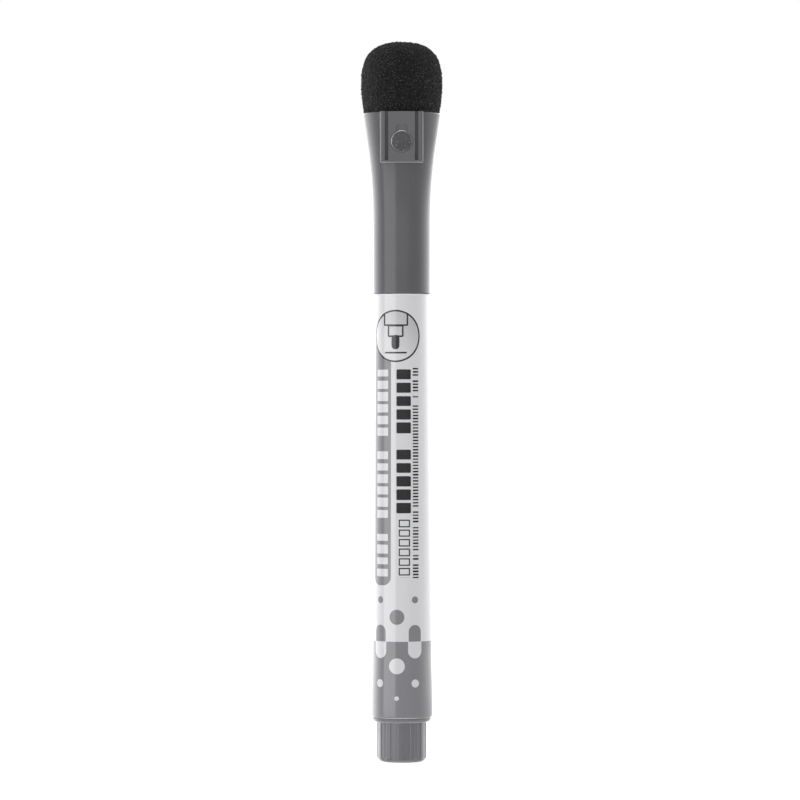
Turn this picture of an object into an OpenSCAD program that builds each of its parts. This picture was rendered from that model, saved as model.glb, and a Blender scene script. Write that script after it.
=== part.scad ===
// Slim dry-erase marker with a pull-off cap, a magnet in the cap's pad and a felt eraser on top.
// Millimetres. The marker stands on the flat end of its end plug: origin there, +Z up the axis.
// The magnet pad faces -Y.

/* [End plug] */
// Height of the fluted grip
grip_h = 7.2; // [6:0.1:10]
// Radius of the fluted grip
grip_r = 4.42; // [4.3:0.01:4.6]
// Radius of the rounding around the flat end
grip_round = 0.9; // [0.6:0.1:1.6]
// Number of flutes around the grip
flute_count = 12; // [8:1:16]
// Width of a flute
flute_w = 1.4; // [0.8:0.1:1.6]
// Depth of a flute
flute_d = 0.15; // [0.1:0.05:0.4]
// Height at which the flutes begin
flute_start = 0.5; // [0.3:0.1:1.5]
// Turn of the first flute from the front
flute_turn = 12.25; // [0:0.25:30]
// Height of the flange between the grip and the barrel
flange_h = 0.8; // [0.6:0.1:1.5]
// Radius of the flange
flange_r = 5.35; // [5.2:0.05:5.45]
// Length of the spigot pressed into the barrel
spigot_h = 8.7; // [6:0.1:12]
// Wall of the hollow plug
plug_wall = 1.3; // [1:0.1:1.6]

/* [Barrel] */
// Length from the rear end to the shoulder where the cap stops
barrel_h = 76.4; // [65:0.1:90]
// Radius at the rear end
barrel_rear_r = 5.49; // [5.4:0.01:5.7]
// Radius where the flared rear end runs out
barrel_waist_r = 5.34; // [5.2:0.01:5.4]
// Radius at the shoulder
barrel_front_r = 5.12; // [5.05:0.01:5.2]
// Thickness of the side wall
barrel_wall = 1.0; // [0.8:0.1:1.2]
// Radius of the neck that the cap slides over
neck_r = 4.3; // [4.2:0.01:4.32]
// Length of the neck
neck_h = 7.0; // [6:0.1:9]
// Height of the snap bead round the neck
bead_h = 0.1; // [0.05:0.01:0.12]
// Radius of the land that the inner cap seals on
land_r = 3.7; // [3.6:0.01:3.8]
// Length of the sealing land
land_h = 3.0; // [2:0.1:4]
// Length of the tapered nose
nose_h = 6.0; // [5:0.1:8]
// Radius at the small end of the nose
nose_r = 2.4; // [2.3:0.05:2.6]
// Radius of the short tube that holds the nib
tube_r = 2.0; // [1.9:0.05:2.2]
// Length of that tube
tube_h = 2.0; // [1:0.1:3]
// Number of ribs that centre the ink reservoir
rib_count = 6; // [4:1:8]
// Width of a rib
rib_w = 0.8; // [0.6:0.1:1.2]

/* [Printed film] */
// Thickness of the film
film_t = 0.06; // [0.04:0.01:0.1]
// Bare barrel left behind the film's rear edge
film_rear_gap = 0.15; // [0.1:0.05:1]
// Bare barrel left beside the cap
film_front_gap = 0.3; // [0.1:0.05:1]

/* [Ink system] */
// Radius of the wrapped reservoir
reservoir_r = 3.5; // [3.3:0.05:3.55]
// Thickness of the film wrapped around the fibre core
wrap_t = 0.05; // [0.04:0.01:0.1]
// Radius of the nib's shank
nib_r = 1.45; // [1.2:0.05:1.5]
// Length of nib that stands out of the barrel
nib_out = 3.0; // [2.5:0.1:4]
// Radius of the rounded writing tip
nib_tip_r = 0.7; // [0.5:0.05:1]
// Length of nib pushed into the reservoir
nib_dip = 8.0; // [5:0.5:12]

/* [Cap] */
// Length from mouth to rim
cap_h = 32.6; // [31:0.1:36]
// Radius at the mouth
cap_mouth_r = 5.2; // [5.15:0.01:5.3]
// Radius where the flare starts
cap_waist_r = 5.25; // [5.2:0.01:5.35]
// Height above the mouth where the flare starts
flare_start = 13.1; // [12:0.1:15]
// Radius of the flare's hollow curve
flare_radius = 95; // [85:1:105]
// Slope of the cone that the flare ends in, in degrees
flare_angle = 8.8; // [8:0.1:9.2]
// Clearance between the neck and the cap
cap_clearance = 0.15; // [0.13:0.01:0.2]
// Depth of the eraser pocket
pocket_h = 8.3; // [7:0.1:9]
// Radius at the pocket's floor
pocket_floor_r = 4.8; // [4.5:0.1:4.9]
// Radius at the pocket's rim
pocket_rim_r = 6.1; // [6:0.05:6.2]
// Thickness of the wall between the pocket and the nib's chamber
partition_t = 1.2; // [0.8:0.1:1.4]

/* [Inner cap] */
// Radius of the inner cap
liner_r = 4.2; // [4.1:0.01:4.22]
// Thickness of the inner cap
liner_wall = 0.45; // [0.4:0.01:0.45]
// Running clearance of the inner cap, inside and out
liner_clearance = 0.05; // [0.03:0.01:0.08]

/* [Magnet pad] */
// Width across the pad
pad_w = 7.7; // [7.5:0.1:8.2]
// Height of the pad
pad_h = 9.1; // [8.6:0.1:9.6]
// Distance from the marker's axis to the pad's face
pad_face = 7.5; // [7.45:0.05:7.6]
// Width of the middle bar that carries the magnet
bar_w = 4.8; // [4.6:0.1:5]
// Width of the slot on each side of the bar
slot_w = 0.6; // [0.5:0.05:0.7]
// Depth of the slots
slot_d = 1.0; // [0.6:0.1:1.1]
// Height of the lip that closes the slots below
slot_lip = 0.35; // [0.3:0.05:0.6]
// Radius of the disc magnet
magnet_r = 2.0; // [1.9:0.05:2]
// Thickness of the disc magnet
magnet_t = 1.5; // [1:0.1:1.5]
// Distance from the cap's rim down to the magnet's centre
magnet_drop = 5.4; // [5.1:0.1:5.5]
// Radius of the shallow gate dimple above the magnet
dimple_r = 0.95; // [0.8:0.05:1]
// Depth of the dimple
dimple_d = 0.2; // [0.1:0.05:0.25]

/* [Eraser] */
// Height of the felt above the cap's rim
eraser_h = 13.0; // [12:0.1:14]
// Largest radius of the felt
eraser_r = 7.39; // [7.2:0.01:7.4]
// Radius of the felt where it sits on the rim
eraser_foot_r = 6.84; // [6.5:0.01:6.95]
// Height of the widest place above the rim
eraser_belly = 5.5; // [5:0.1:6]
// Squareness of the dome, where 2 is an ellipse
eraser_power = 2.6; // [2.2:0.1:3]
// Steps in the dome's outline
eraser_steps = 12; // [8:1:16]

/* [Hidden] */
$fa = 3;
$fs = 0.2;

barrel_z = grip_h + flange_h;
shoulder_z = barrel_z + barrel_h;
land_z = shoulder_z + neck_h;
nose_z = land_z + land_h;
tube_z = nose_z + nose_h;
nib_mouth_z = tube_z + tube_h;
nib_tip_z = nib_mouth_z + nib_out;
rim_z = shoulder_z + cap_h;
pocket_z = rim_z - pocket_h;
chamber_top_z = pocket_z - partition_t;
flare_z = shoulder_z + flare_start;
magnet_z = rim_z - magnet_drop;
magnet_sink = 0.05;       // how far the magnet lies below the pad's face
magnet_seat = -pad_face + magnet_sink + magnet_t;
pad_z = rim_z - pad_h;
dimple_z = rim_z - magnet_drop + magnet_r + 0.2;
bead_z = shoulder_z + 2;

spigot_top_z = barrel_z + spigot_h;
plug_bore_r = barrel_rear_r - barrel_wall;
spigot_r = plug_bore_r - 0.05;
spigot_bead_r = 0.4;      // the beads that grip stand 0.04 past the bore
chamfer = 0.25;
mouth_chamfer = 0.15;
rear_flare_low = 3.7;     // straight stretch at the rear end
rear_flare_high = 10.7;   // where the rear flare has run out
core_clearance = 0.1;
neck_bore_r = reservoir_r + core_clearance;
nib_bore_r = nib_r + 0.05;
step_wall = 1.0;
neck_bore_top_z = land_z - step_wall;
core_top_z = neck_bore_top_z - 0.5;
nib_foot_z = core_top_z - nib_dip;
snug = 0.01;              // drop-in gap between pieces that never move apart
through = 0.1;            // how far a cut runs past the face it opens
fine = 720;               // fragments on the long, shallow flare

// Solid of revolution about the marker's axis
module turned() rotate_extrude() children();

// Half outline of a straight-sided stretch between two heights
module stretch(low_z, low_r, high_z, high_r)
  polygon([[0, low_z], [low_r, low_z], [high_r, high_z], [0, high_z]]);

// Half outline of the barrel's long outside, grown outwards by a skin
module barrel_side(low_z, high_z, skin) {
  low_end = barrel_z + rear_flare_low;
  high_end = barrel_z + rear_flare_high;
  front_slope = (barrel_waist_r - barrel_front_r) / (shoulder_z - high_end);
  stretch(low_z, barrel_rear_r + skin, low_end, barrel_rear_r + skin);
  stretch(low_end, barrel_rear_r + skin, high_end, barrel_waist_r + skin);
  stretch(high_end, barrel_waist_r + skin,
          high_z, barrel_front_r + skin + front_slope * (shoulder_z - high_z));
}

// Half outline of the material that a 45-degree chamfer takes off the rear edge
module rear_chamfer()
  polygon([[barrel_rear_r - chamfer, barrel_z], [barrel_rear_r + through, barrel_z - through],
           [barrel_rear_r + through, barrel_z + chamfer + through],
           [barrel_rear_r, barrel_z + chamfer]]);

module barrel_outside()
  turned() {
    difference() {
      barrel_side(barrel_z, shoulder_z, 0);
      rear_chamfer();
    }
    stretch(shoulder_z, neck_r, land_z, neck_r);
    translate([neck_r - bead_h * 3, bead_z]) circle(r = bead_h * 4);
    stretch(land_z, land_r, nose_z, land_r);
    stretch(nose_z, land_r, tube_z, nose_r);
    stretch(tube_z, tube_r, nib_mouth_z, tube_r);
  }

module barrel_inside()
  turned() {
    stretch(barrel_z - through, plug_bore_r, spigot_top_z + 1, plug_bore_r);
    stretch(spigot_top_z + 1, plug_bore_r,
            shoulder_z - step_wall, barrel_front_r - barrel_wall);
    stretch(shoulder_z - step_wall - through, neck_bore_r, neck_bore_top_z, neck_bore_r);
    stretch(neck_bore_top_z - through, nib_bore_r, nib_mouth_z + through, nib_bore_r);
  }

// Long ribs that hold the reservoir clear of the wall, so that air can pass
module reservoir_ribs()
  for (i = [0 : rib_count - 1])
    rotate([0, 0, i * 360 / rib_count])
      translate([neck_bore_r, -rib_w / 2, spigot_top_z + 2])
        cube([barrel_front_r - barrel_wall / 2 - neck_bore_r, rib_w,
              shoulder_z - step_wall / 2 - spigot_top_z - 2]);

module barrel()
  color("whitesmoke") {
    difference() {
      barrel_outside();
      barrel_inside();
    }
    reservoir_ribs();
  }

module printed_film()
  color("lightgray") turned()
    difference() {
      barrel_side(barrel_z + film_rear_gap, shoulder_z - film_front_gap, film_t);
      barrel_side(barrel_z, shoulder_z, 0);
    }

// One flute: a slot with a round lower end, cut straight in from the side
module flute()
  rotate([90, 0, 0])
    linear_extrude(height = grip_r)
      translate([0, flute_start + flute_w / 2]) {
        circle(d = flute_w);
        translate([-flute_w / 2, 0]) square([flute_w, grip_h - flute_start - flute_w / 2]);
      }

module end_plug()
  color("dimgray") difference() {
    union() {
      turned() {
        stretch(0, grip_r - grip_round, grip_round, grip_r - grip_round);
        intersection() {
          translate([grip_r - grip_round, grip_round]) circle(r = grip_round);
          stretch(0, grip_r, grip_round, grip_r);
        }
        stretch(grip_round, grip_r, grip_h, grip_r);
        intersection() {
          translate([flange_r - flange_h, barrel_z]) circle(r = flange_h);
          stretch(grip_h, flange_r, barrel_z, flange_r);
        }
        stretch(grip_h, flange_r - flange_h, barrel_z, flange_r - flange_h);
        stretch(barrel_z, spigot_r, spigot_top_z, spigot_r);
        for (share = [0.35, 0.7])
          translate([plug_bore_r + 0.04 - spigot_bead_r, barrel_z + spigot_h * share])
            circle(r = spigot_bead_r);
      }
    }
    for (i = [0 : flute_count - 1])
      rotate([0, 0, flute_turn + i * 360 / flute_count])
        translate([0, -(grip_r - flute_d), 0]) flute();
    turned() stretch(plug_wall, grip_r - plug_wall, spigot_top_z + through, grip_r - plug_wall);
  }

// The reservoir stands on the end plug's spigot and stops short of the neck's step
module reservoir_core(radius)
  translate([0, 0, spigot_top_z])
    cylinder(r = radius, h = core_top_z - spigot_top_z);

module ink_reservoir()
  color("gray") difference() {
    reservoir_core(reservoir_r - wrap_t);
    translate([0, 0, nib_foot_z]) cylinder(r = nib_r, h = nib_dip + through);
  }

module reservoir_wrap()
  color("silver") difference() {
    reservoir_core(reservoir_r);
    translate([0, 0, -through]) cylinder(r = reservoir_r - wrap_t, h = nib_mouth_z);
  }

module nib()
  color("black") turned() {
    tip_z = nib_tip_z - nib_tip_r;
    stretch(nib_foot_z, nib_r, nib_mouth_z + nib_out / 3, nib_r);
    stretch(nib_mouth_z + nib_out / 3, nib_r, tip_z, nib_tip_r);
    intersection() {
      translate([0, tip_z]) circle(r = nib_tip_r);
      stretch(tip_z - through, nib_tip_r, nib_tip_z, nib_tip_r);
    }
  }

// Thimble inside the cap: slides over the sealing land and keeps the nib wet
module inner_cap()
  color("white") turned()
    difference() {
      low_z = land_z + 0.2;
      high_z = chamber_top_z - snug;
      inner_r = liner_r - liner_wall;
      stretch(low_z, liner_r, high_z, liner_r);
      stretch(low_z - through, inner_r, nose_z + 1, inner_r);
      stretch(nose_z + 1, inner_r, high_z - liner_wall * 2, nose_r + liner_clearance);
    }

// The cap's outside: a tapered tube, a hollow flare and a straight cone up to the rim
module cap_outside()
  turned()
    difference() {
      cone_z = flare_z + flare_radius * sin(flare_angle);
      cone_r = cap_waist_r + flare_radius * (1 - cos(flare_angle));
      polygon([[0, shoulder_z], [cap_mouth_r - mouth_chamfer, shoulder_z],
               [cap_mouth_r, shoulder_z + mouth_chamfer], [cap_waist_r, flare_z], [cone_r, cone_z],
               [cone_r + (rim_z - cone_z) * tan(flare_angle), rim_z], [0, rim_z]]);
      translate([cap_waist_r + flare_radius, flare_z]) circle(r = flare_radius, $fn = fine);
    }

module cap_inside()
  turned() {
    neck_clear_r = neck_r + cap_clearance;
    seat_r = liner_r + liner_clearance;
    stretch(shoulder_z - through, neck_clear_r, land_z + 0.1, neck_clear_r);
    translate([neck_clear_r - bead_h * 4, bead_z]) circle(r = bead_h * 5);
    stretch(land_z, seat_r, chamber_top_z, seat_r);
    stretch(pocket_z, pocket_floor_r, rim_z, pocket_rim_r);
    stretch(rim_z - through, pocket_rim_r, rim_z + through, pocket_rim_r);
  }

module pad_block()
  translate([-pad_w / 2, -pad_face, pad_z])
    cube([pad_w, pad_face - pocket_floor_r / 2, pad_h]);

// Cuts across the pad's face: two slots open at the top, the magnet's pocket and the dimple
module pad_cuts() {
  for (side = [-1, 1])
    translate([side * (bar_w + slot_w) / 2 - slot_w / 2, -pad_face - through, pad_z + slot_lip])
      cube([slot_w, slot_d + through, pad_h]);
  translate([0, magnet_seat, magnet_z]) rotate([90, 0, 0])
    cylinder(r = magnet_r + snug, h = magnet_t + magnet_sink + through);
  translate([0, -pad_face + dimple_d, dimple_z]) rotate([90, 0, 0])
    cylinder(r = dimple_r, h = dimple_d + through);
}

module cap_shell()
  color("dimgray") difference() {
    union() {
      cap_outside();
      pad_block();
    }
    cap_inside();
    pad_cuts();
  }

module magnet()
  color("silver") translate([0, magnet_seat, magnet_z]) rotate([90, 0, 0])
    cylinder(r = magnet_r, h = magnet_t);

// Half outline of the felt: a swelling lower side and a squared-off dome
function eraser_side(steps) = [
  for (i = [0 : steps / 2])
    let (share = 2 * i / steps)
    [eraser_r - (eraser_r - eraser_foot_r) * pow(1 - share, 2), rim_z + eraser_belly * share]
];
function eraser_dome(steps) = [
  for (i = [1 : steps])
    let (turn = 90 * i / steps, dome_h = eraser_h - eraser_belly)
    [eraser_r * pow(cos(turn), 2 / eraser_power),
     rim_z + eraser_belly + dome_h * pow(sin(turn), 2 / eraser_power)]
];

module eraser()
  color("black") turned() {
    polygon(concat([[0, rim_z]], eraser_side(eraser_steps), eraser_dome(eraser_steps)));
    stretch(pocket_z, pocket_floor_r - snug, rim_z, pocket_rim_r - snug);
  }

barrel();
printed_film();
end_plug();
ink_reservoir();
reservoir_wrap();
nib();
inner_cap();
cap_shell();
magnet();
eraser();
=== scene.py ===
# %% [markdown]
# # A slim whiteboard marker
# This lesson builds the looks of a slim dry-erase marker around a frame that is already the right size.
# The frame is the engineering model: every piece sits where the real one would, the cap slides and turns.
# Here each plain piece is swapped for one with rounded edges, flutes, felt and print. Lengths are metres.

import functools
import math

import bmesh
import bpy
from mathutils import Matrix, Vector, noise


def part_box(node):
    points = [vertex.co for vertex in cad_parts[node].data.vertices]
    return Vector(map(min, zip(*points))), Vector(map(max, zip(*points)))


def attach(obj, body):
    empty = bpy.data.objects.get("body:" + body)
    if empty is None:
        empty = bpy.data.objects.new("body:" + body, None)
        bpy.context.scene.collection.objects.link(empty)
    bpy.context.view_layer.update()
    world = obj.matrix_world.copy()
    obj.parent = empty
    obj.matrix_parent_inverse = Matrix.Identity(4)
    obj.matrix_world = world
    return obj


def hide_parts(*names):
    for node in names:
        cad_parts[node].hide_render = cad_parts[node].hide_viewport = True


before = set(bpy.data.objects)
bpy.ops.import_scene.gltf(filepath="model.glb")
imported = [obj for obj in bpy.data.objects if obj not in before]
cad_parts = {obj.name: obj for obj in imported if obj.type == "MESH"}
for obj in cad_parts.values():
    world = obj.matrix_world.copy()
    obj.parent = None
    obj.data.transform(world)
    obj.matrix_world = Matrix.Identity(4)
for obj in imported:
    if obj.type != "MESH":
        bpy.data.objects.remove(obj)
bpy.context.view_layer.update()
MM = 0.001

# %% [markdown]
# ## Where things are
# A piece that only looks right in one picture is no use, so heights are read from the frame. The end
# plug stands on the floor, the barrel starts on top of its flange, and the cap stops at the shoulder.

# %% Heights along the marker
film_low, film_high = (corner.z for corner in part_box("printed_film"))
mouth_z, rim_z = (corner.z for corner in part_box("cap_shell"))
barrel_low, nib_mouth_z = (corner.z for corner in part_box("barrel"))
nib_foot_z, nib_tip_z = (corner.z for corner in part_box("nib"))
spigot_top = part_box("end_plug")[1].z
core_low, core_high = (corner.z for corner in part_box("ink_reservoir"))
cup_low, cup_high = (corner.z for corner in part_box("inner_cap"))
pocket_z, felt_top = (corner.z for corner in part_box("eraser"))
print(f"cap from {mouth_z / MM:.1f} to {rim_z / MM:.1f} mm, felt up to {felt_top / MM:.1f} mm")

# %% [markdown]
# ## Outlines and turned pieces
# Nearly every piece of a marker is round, so it can be made as on a lathe: draw half of its section and
# spin it about the axis. Real mouldings have no knife edges, so a corner of an outline can carry a
# rounding radius, and a short arc takes its place. A highlight then runs along the edge.

# %% Rounded outlines
def rounded(corners, steps=5):
    """Outline points from (across, along, rounding) corners, with arcs for the rounded ones."""
    points = []
    for index, (across, along, rounding) in enumerate(corners):
        here = Vector((across, along))
        if not rounding:
            points.append(here)
            continue
        to_last = (Vector(corners[index - 1][:2]) - here).normalized()
        to_next = (Vector(corners[(index + 1) % len(corners)][:2]) - here).normalized()
        half_angle = to_last.angle(to_next) / 2
        centre = here + (to_last + to_next).normalized() * rounding / math.sin(half_angle)
        start = here + to_last * rounding / math.tan(half_angle)
        end = here + to_next * rounding / math.tan(half_angle)
        turn = (start - centre).angle_signed(end - centre)
        for step in range(steps + 1):
            spoke = (start - centre).copy()
            spoke.rotate(Matrix.Rotation(-turn * step / steps, 2))
            points.append(centre + spoke)
    return points


# %% Turning an outline into a mesh
def mesh_piece(name, bm):
    """A new object from bmesh data, with its faces pointing outwards."""
    bmesh.ops.recalc_face_normals(bm, faces=bm.faces)
    mesh = bpy.data.meshes.new(name)
    bm.to_mesh(mesh)
    bm.free()
    piece = bpy.data.objects.new(name, mesh)
    bpy.context.scene.collection.objects.link(piece)
    return piece


def count_faces(piece):
    print(piece.name, "has", len(piece.data.polygons), "faces")


def turned(name, outline, columns=192, hollow=False):
    """The outline spun about the Z axis. A hollow outline is a ring that never meets the axis."""
    bm = bmesh.new()
    rings = []
    for radius, height in outline:
        on_axis = radius < 1e-7
        spokes = [0] if on_axis else [math.tau * k / columns for k in range(columns)]
        rings.append([bm.verts.new((radius * math.sin(a), -radius * math.cos(a), height)) for a in spokes])
    pairs = list(zip(rings, rings[1:])) + ([(rings[-1], rings[0])] if hollow else [])
    for low, high in pairs:
        for k in range(columns):
            ring = [low[spoke % len(low)] for spoke in (k, k + 1)]
            ring += [high[spoke % len(high)] for spoke in (k + 1, k)]
            corners = list(dict.fromkeys(ring))
            if len(corners) > 2:
                bm.faces.new(corners)
    return mesh_piece(name, bm)


# %% [markdown]
# ## Finishing a mesh
# A finished piece is kept as a plain mesh, without its modifiers. Faces that meet at a steep angle get a
# sharp edge, and the rest shade smoothly. Weighted normals let the large faces win, so that a flat face
# stays flat right up to its rounded edge.

# %% Settling a piece
SHARP_ANGLE = math.radians(38)


def settle(piece):
    """Applies the piece's modifiers and leaves a plain mesh."""
    graph = bpy.context.evaluated_depsgraph_get()
    old = piece.data
    piece.data = bpy.data.meshes.new_from_object(piece.evaluated_get(graph))
    piece.modifiers.clear()
    bpy.data.meshes.remove(old)
    return piece


def smooth_shading(piece, weighted=True):
    """Smooth faces, sharp edges where faces meet steeply, and normals led by the larger faces."""
    bm = bmesh.new()
    bm.from_mesh(piece.data)
    for face in bm.faces:
        face.smooth = True
    for edge in bm.edges:
        edge.smooth = not (edge.is_manifold and edge.calc_face_angle() > SHARP_ANGLE)
    bm.to_mesh(piece.data)
    bm.free()
    if weighted:
        weights = piece.modifiers.new("weighted normals", "WEIGHTED_NORMAL")
        weights.keep_sharp = True
        settle(piece)


def only_material(piece, material):
    """Gives every face that material and drops the others."""
    piece.data.materials.clear()
    piece.data.materials.append(material)


def cut(piece, tool, operation="DIFFERENCE"):
    """Joins the tool to the piece or cuts it away, and removes the tool."""
    step = piece.modifiers.new("cut", "BOOLEAN")
    step.operation, step.object, step.solver = operation, tool, "EXACT"
    settle(piece)
    bpy.data.objects.remove(tool)


# %% [markdown]
# ## Writing node trees as sums
# A socket is wrapped in a small class, so that `1 - mask` or `reach / 2` adds the Math node for it, and a
# pattern reads like the sum it is.

# %% A socket that takes arithmetic
class Wire:
    """One output socket of a node tree. Arithmetic on it adds Math nodes to the tree."""

    def __init__(self, maker, socket):
        self.maker, self.socket = maker, socket

    def maths(self, operation, *others, swap=False, clamp=False):
        """A Math node on this wire and the others; swap puts this wire second."""
        order = (*others, self) if swap else (self, *others)
        settings = {"operation": operation, "use_clamp": clamp}
        return self.maker.value("ShaderNodeMath", settings, dict(enumerate(order)))

    def __add__(self, other):
        return self.maths("ADD", other)

    def __sub__(self, other):
        return self.maths("SUBTRACT", other)

    def __rsub__(self, other):
        return self.maths("SUBTRACT", other, swap=True)

    def __mul__(self, other):
        return self.maths("MULTIPLY", other)

    def __truediv__(self, other):
        return self.maths("DIVIDE", other)

    def __rtruediv__(self, other):
        return self.maths("DIVIDE", other, swap=True)

    def __gt__(self, other):
        return self.maths("GREATER_THAN", other)

    def __lt__(self, other):
        return self.maths("LESS_THAN", other)

    def __abs__(self):
        return self.maths("ABSOLUTE")

    __radd__, __rmul__ = __add__, __mul__

    def at_most(self, other):
        return self.maths("MINIMUM", other)

    def at_least(self, other):
        return self.maths("MAXIMUM", other)

    def clamped(self):
        return self.maths("ADD", 0.0, clamp=True)


# %% A maker of node trees
class Maker:
    """Adds nodes to one tree."""

    def __init__(self, tree):
        self.tree = tree

    def node(self, kind, settings=None, inputs=None):
        """A node of that type; its settings are set first, then the values or wires of its inputs."""
        made = self.tree.nodes.new(kind)
        for name, setting in (settings or {}).items():
            setattr(made, name, setting)
        for name, given in (inputs or {}).items():
            if isinstance(given, Wire):
                self.tree.links.new(given.socket, made.inputs[name])
            else:
                made.inputs[name].default_value = given
        return made

    def value(self, kind, settings=None, inputs=None, output=0):
        """The same, giving one of the node's outputs as a wire."""
        return Wire(self, self.node(kind, settings, inputs).outputs[output])

    def parts(self, vector):
        """The three coordinates of a vector."""
        return [self.value("ShaderNodeSeparateXYZ", inputs={0: vector}, output=axis) for axis in "XYZ"]

    def vector(self, **given):
        """A vector from its coordinates; those not given are 0."""
        return self.value("ShaderNodeCombineXYZ", inputs=given)

    def chance(self, **given):
        """A chance number in Geometry Nodes, between Min and Max and fixed by Seed."""
        return self.value("FunctionNodeRandomValue", {"data_type": "FLOAT"}, given, output=1)

    def place(self):
        """Where a point is on the piece, in metres."""
        return self.value("ShaderNodeTexCoord", output="Object")

    def blend(self, share, first, second):
        """A colour between two colours."""
        settings = {"data_type": "RGBA"}
        return self.value("ShaderNodeMix", settings, {"Factor": share, 6: first, 7: second}, output=2)

    def grain(self, size, detail=2.0, roughness=0.5, stretch=(1, 1, 1)):
        """Noise from 0 to 1 whose features are about that size across, in metres."""
        spot = self.value("ShaderNodeMapping", inputs={"Vector": self.place(), "Scale": stretch})
        inputs = {"Vector": spot, "Scale": 1 / size, "Detail": detail, "Roughness": roughness}
        return self.value("ShaderNodeTexNoise", inputs=inputs)

    def bumps(self, height, depth):
        """A normal from a height between 0 and 1 that stands for that depth in metres."""
        inputs = {"Height": height, "Distance": depth, "Strength": 1.0}
        return self.value("ShaderNodeBump", inputs=inputs)


# %% A new material
def finish_named(name, **constants):
    """A material with one Principled shader, its constant sockets set, and a maker for the rest."""
    material = bpy.data.materials.new(name)
    material.use_nodes = True
    maker = Maker(material.node_tree)
    material.node_tree.nodes.clear()
    shader = maker.node("ShaderNodeBsdfPrincipled")
    for socket, given in constants.items():
        shader.inputs[socket.replace("_", " ")].default_value = given
    maker.node("ShaderNodeOutputMaterial", inputs={"Surface": Wire(maker, shader.outputs[0])})

    def drive(socket, given):
        if isinstance(given, Wire):
            maker.tree.links.new(given.socket, shader.inputs[socket])
        else:
            shader.inputs[socket].default_value = given

    return material, maker, drive


def grey(level, blue=0.0):
    """A near-neutral colour, with that share more blue."""
    return (level, level, level * (1 + blue), 1.0)


# %% [markdown]
# ## Glossy moulded plastic
# The cap and the end plug are grey polypropylene. It is smooth, but never a perfect mirror: the melt
# leaves long faint flow marks along the part, handling leaves hairline scuffs, and the sheen is a little
# uneven. One function makes each plastic, so that they differ only in colour and gloss.

# %% Plastics
def plastic(name, colour, roughness, flow=4e-6, **constants):
    """Smooth moulded plastic with flow marks, an uneven sheen and hairline scuffs."""
    material, maker, drive = finish_named(name, IOR=1.49, **constants)
    clouding = maker.grain(3 * MM, detail=3)
    flow_marks = maker.grain(1.3 * MM, detail=2, stretch=(1, 1, 0.12))
    scuffs = maker.grain(0.25 * MM, detail=1, stretch=(1, 1, 0.04))
    scuffed = (scuffs - 0.62).at_least(0.0) * 2.0
    darker = tuple(0.93 * part for part in colour[:3]) + (1.0,)
    drive("Base Color", maker.blend(clouding, darker, colour))
    drive("Roughness", roughness + clouding * 0.05 + scuffed * 0.35)
    drive("Normal", maker.bumps(flow_marks, flow))
    return material


haze = {"Sheen_Weight": 0.4, "Sheen_Roughness": 0.35}
grey_plastic = plastic("grey_polypropylene", grey(0.105, 0.08), 0.16, **haze)
haze["Sheen_Weight"] = 1.0
plug_plastic = plastic("lighter_grey_polypropylene", grey(0.165, 0.08), 0.2, **haze)
white_plastic = plastic("white_polypropylene", grey(0.78, 0.03), 0.2)
milkiness = {"Subsurface_Weight": 0.25, "Subsurface_Scale": MM}
milky_plastic = plastic("milky_polyethylene", grey(0.7), 0.38, **milkiness)
print("plastics:", grey_plastic.name, white_plastic.name, milky_plastic.name)

# %% [markdown]
# ## The cap
# The cap is a thin tube that flares into a cone along one hollow arc. Inside are two rooms with a wall
# between them: the lower one takes the neck and the inner cap, the upper one takes the felt. The solid
# outside is turned first, the pad is joined to it, and then both rooms are cut out of the two.

# %% The cap's outside
CAP_MOUTH_R, CAP_WAIST_R = 5.2 * MM, 5.25 * MM
FLARE_START, FLARE_RADIUS, FLARE_SLOPE = 13.1 * MM, 95 * MM, math.radians(8.8)


def cap_side(steps=24):
    """Outline points of the hollow flare, from its start up to where it turns into a straight cone."""
    for step in range(steps + 1):
        turn = FLARE_SLOPE * step / steps
        yield (
            CAP_WAIST_R + FLARE_RADIUS * (1 - math.cos(turn)),
            mouth_z + FLARE_START + FLARE_RADIUS * math.sin(turn),
        )


flare = list(cap_side())
cap_rim_r = flare[-1][0] + (rim_z - flare[-1][1]) * math.tan(FLARE_SLOPE)
lower = rounded([(0, mouth_z, 0), (CAP_MOUTH_R, mouth_z, 0.22 * MM), (CAP_WAIST_R, flare[0][1], 0)])[:-1]
upper = rounded([flare[-1] + (0,), (cap_rim_r, rim_z, 0.2 * MM), (0, rim_z, 0)])[1:]
cap = turned("cap", lower + flare + upper, columns=256)
print(f"cap rim radius {cap_rim_r / MM:.2f} mm")

# %% [markdown]
# ## The magnet pad
# The pad is a square-cornered block in one moulding with the cap. Two slots part it into a middle bar and
# two rails. The slots run out through the top and stop at a low lip. It is drawn as a flat outline with
# rounded outer corners, pushed up into a block, and then slots, pocket and dimple are cut from its face.

# %% Straight blocks
def block(name, corners, low, high, lower_edge=0.0):
    """A flat outline in X and Y pushed up from low to high, with its lower edge rounded if asked."""
    bm = bmesh.new()
    base = [bm.verts.new((point.x, point.y, low)) for point in rounded(corners, steps=6)]
    floor = bm.faces.new(base)
    grown = bmesh.ops.extrude_face_region(bm, geom=[floor])
    for vertex in (part for part in grown["geom"] if isinstance(part, bmesh.types.BMVert)):
        vertex.co.z = high
    if lower_edge:
        around = [edge for edge in bm.edges if all(v.co.z == base[0].co.z for v in edge.verts)]
        bmesh.ops.bevel(bm, geom=around, offset=lower_edge, segments=4, profile=0.5, affect="EDGES")
    return mesh_piece(name, bm)


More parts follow.
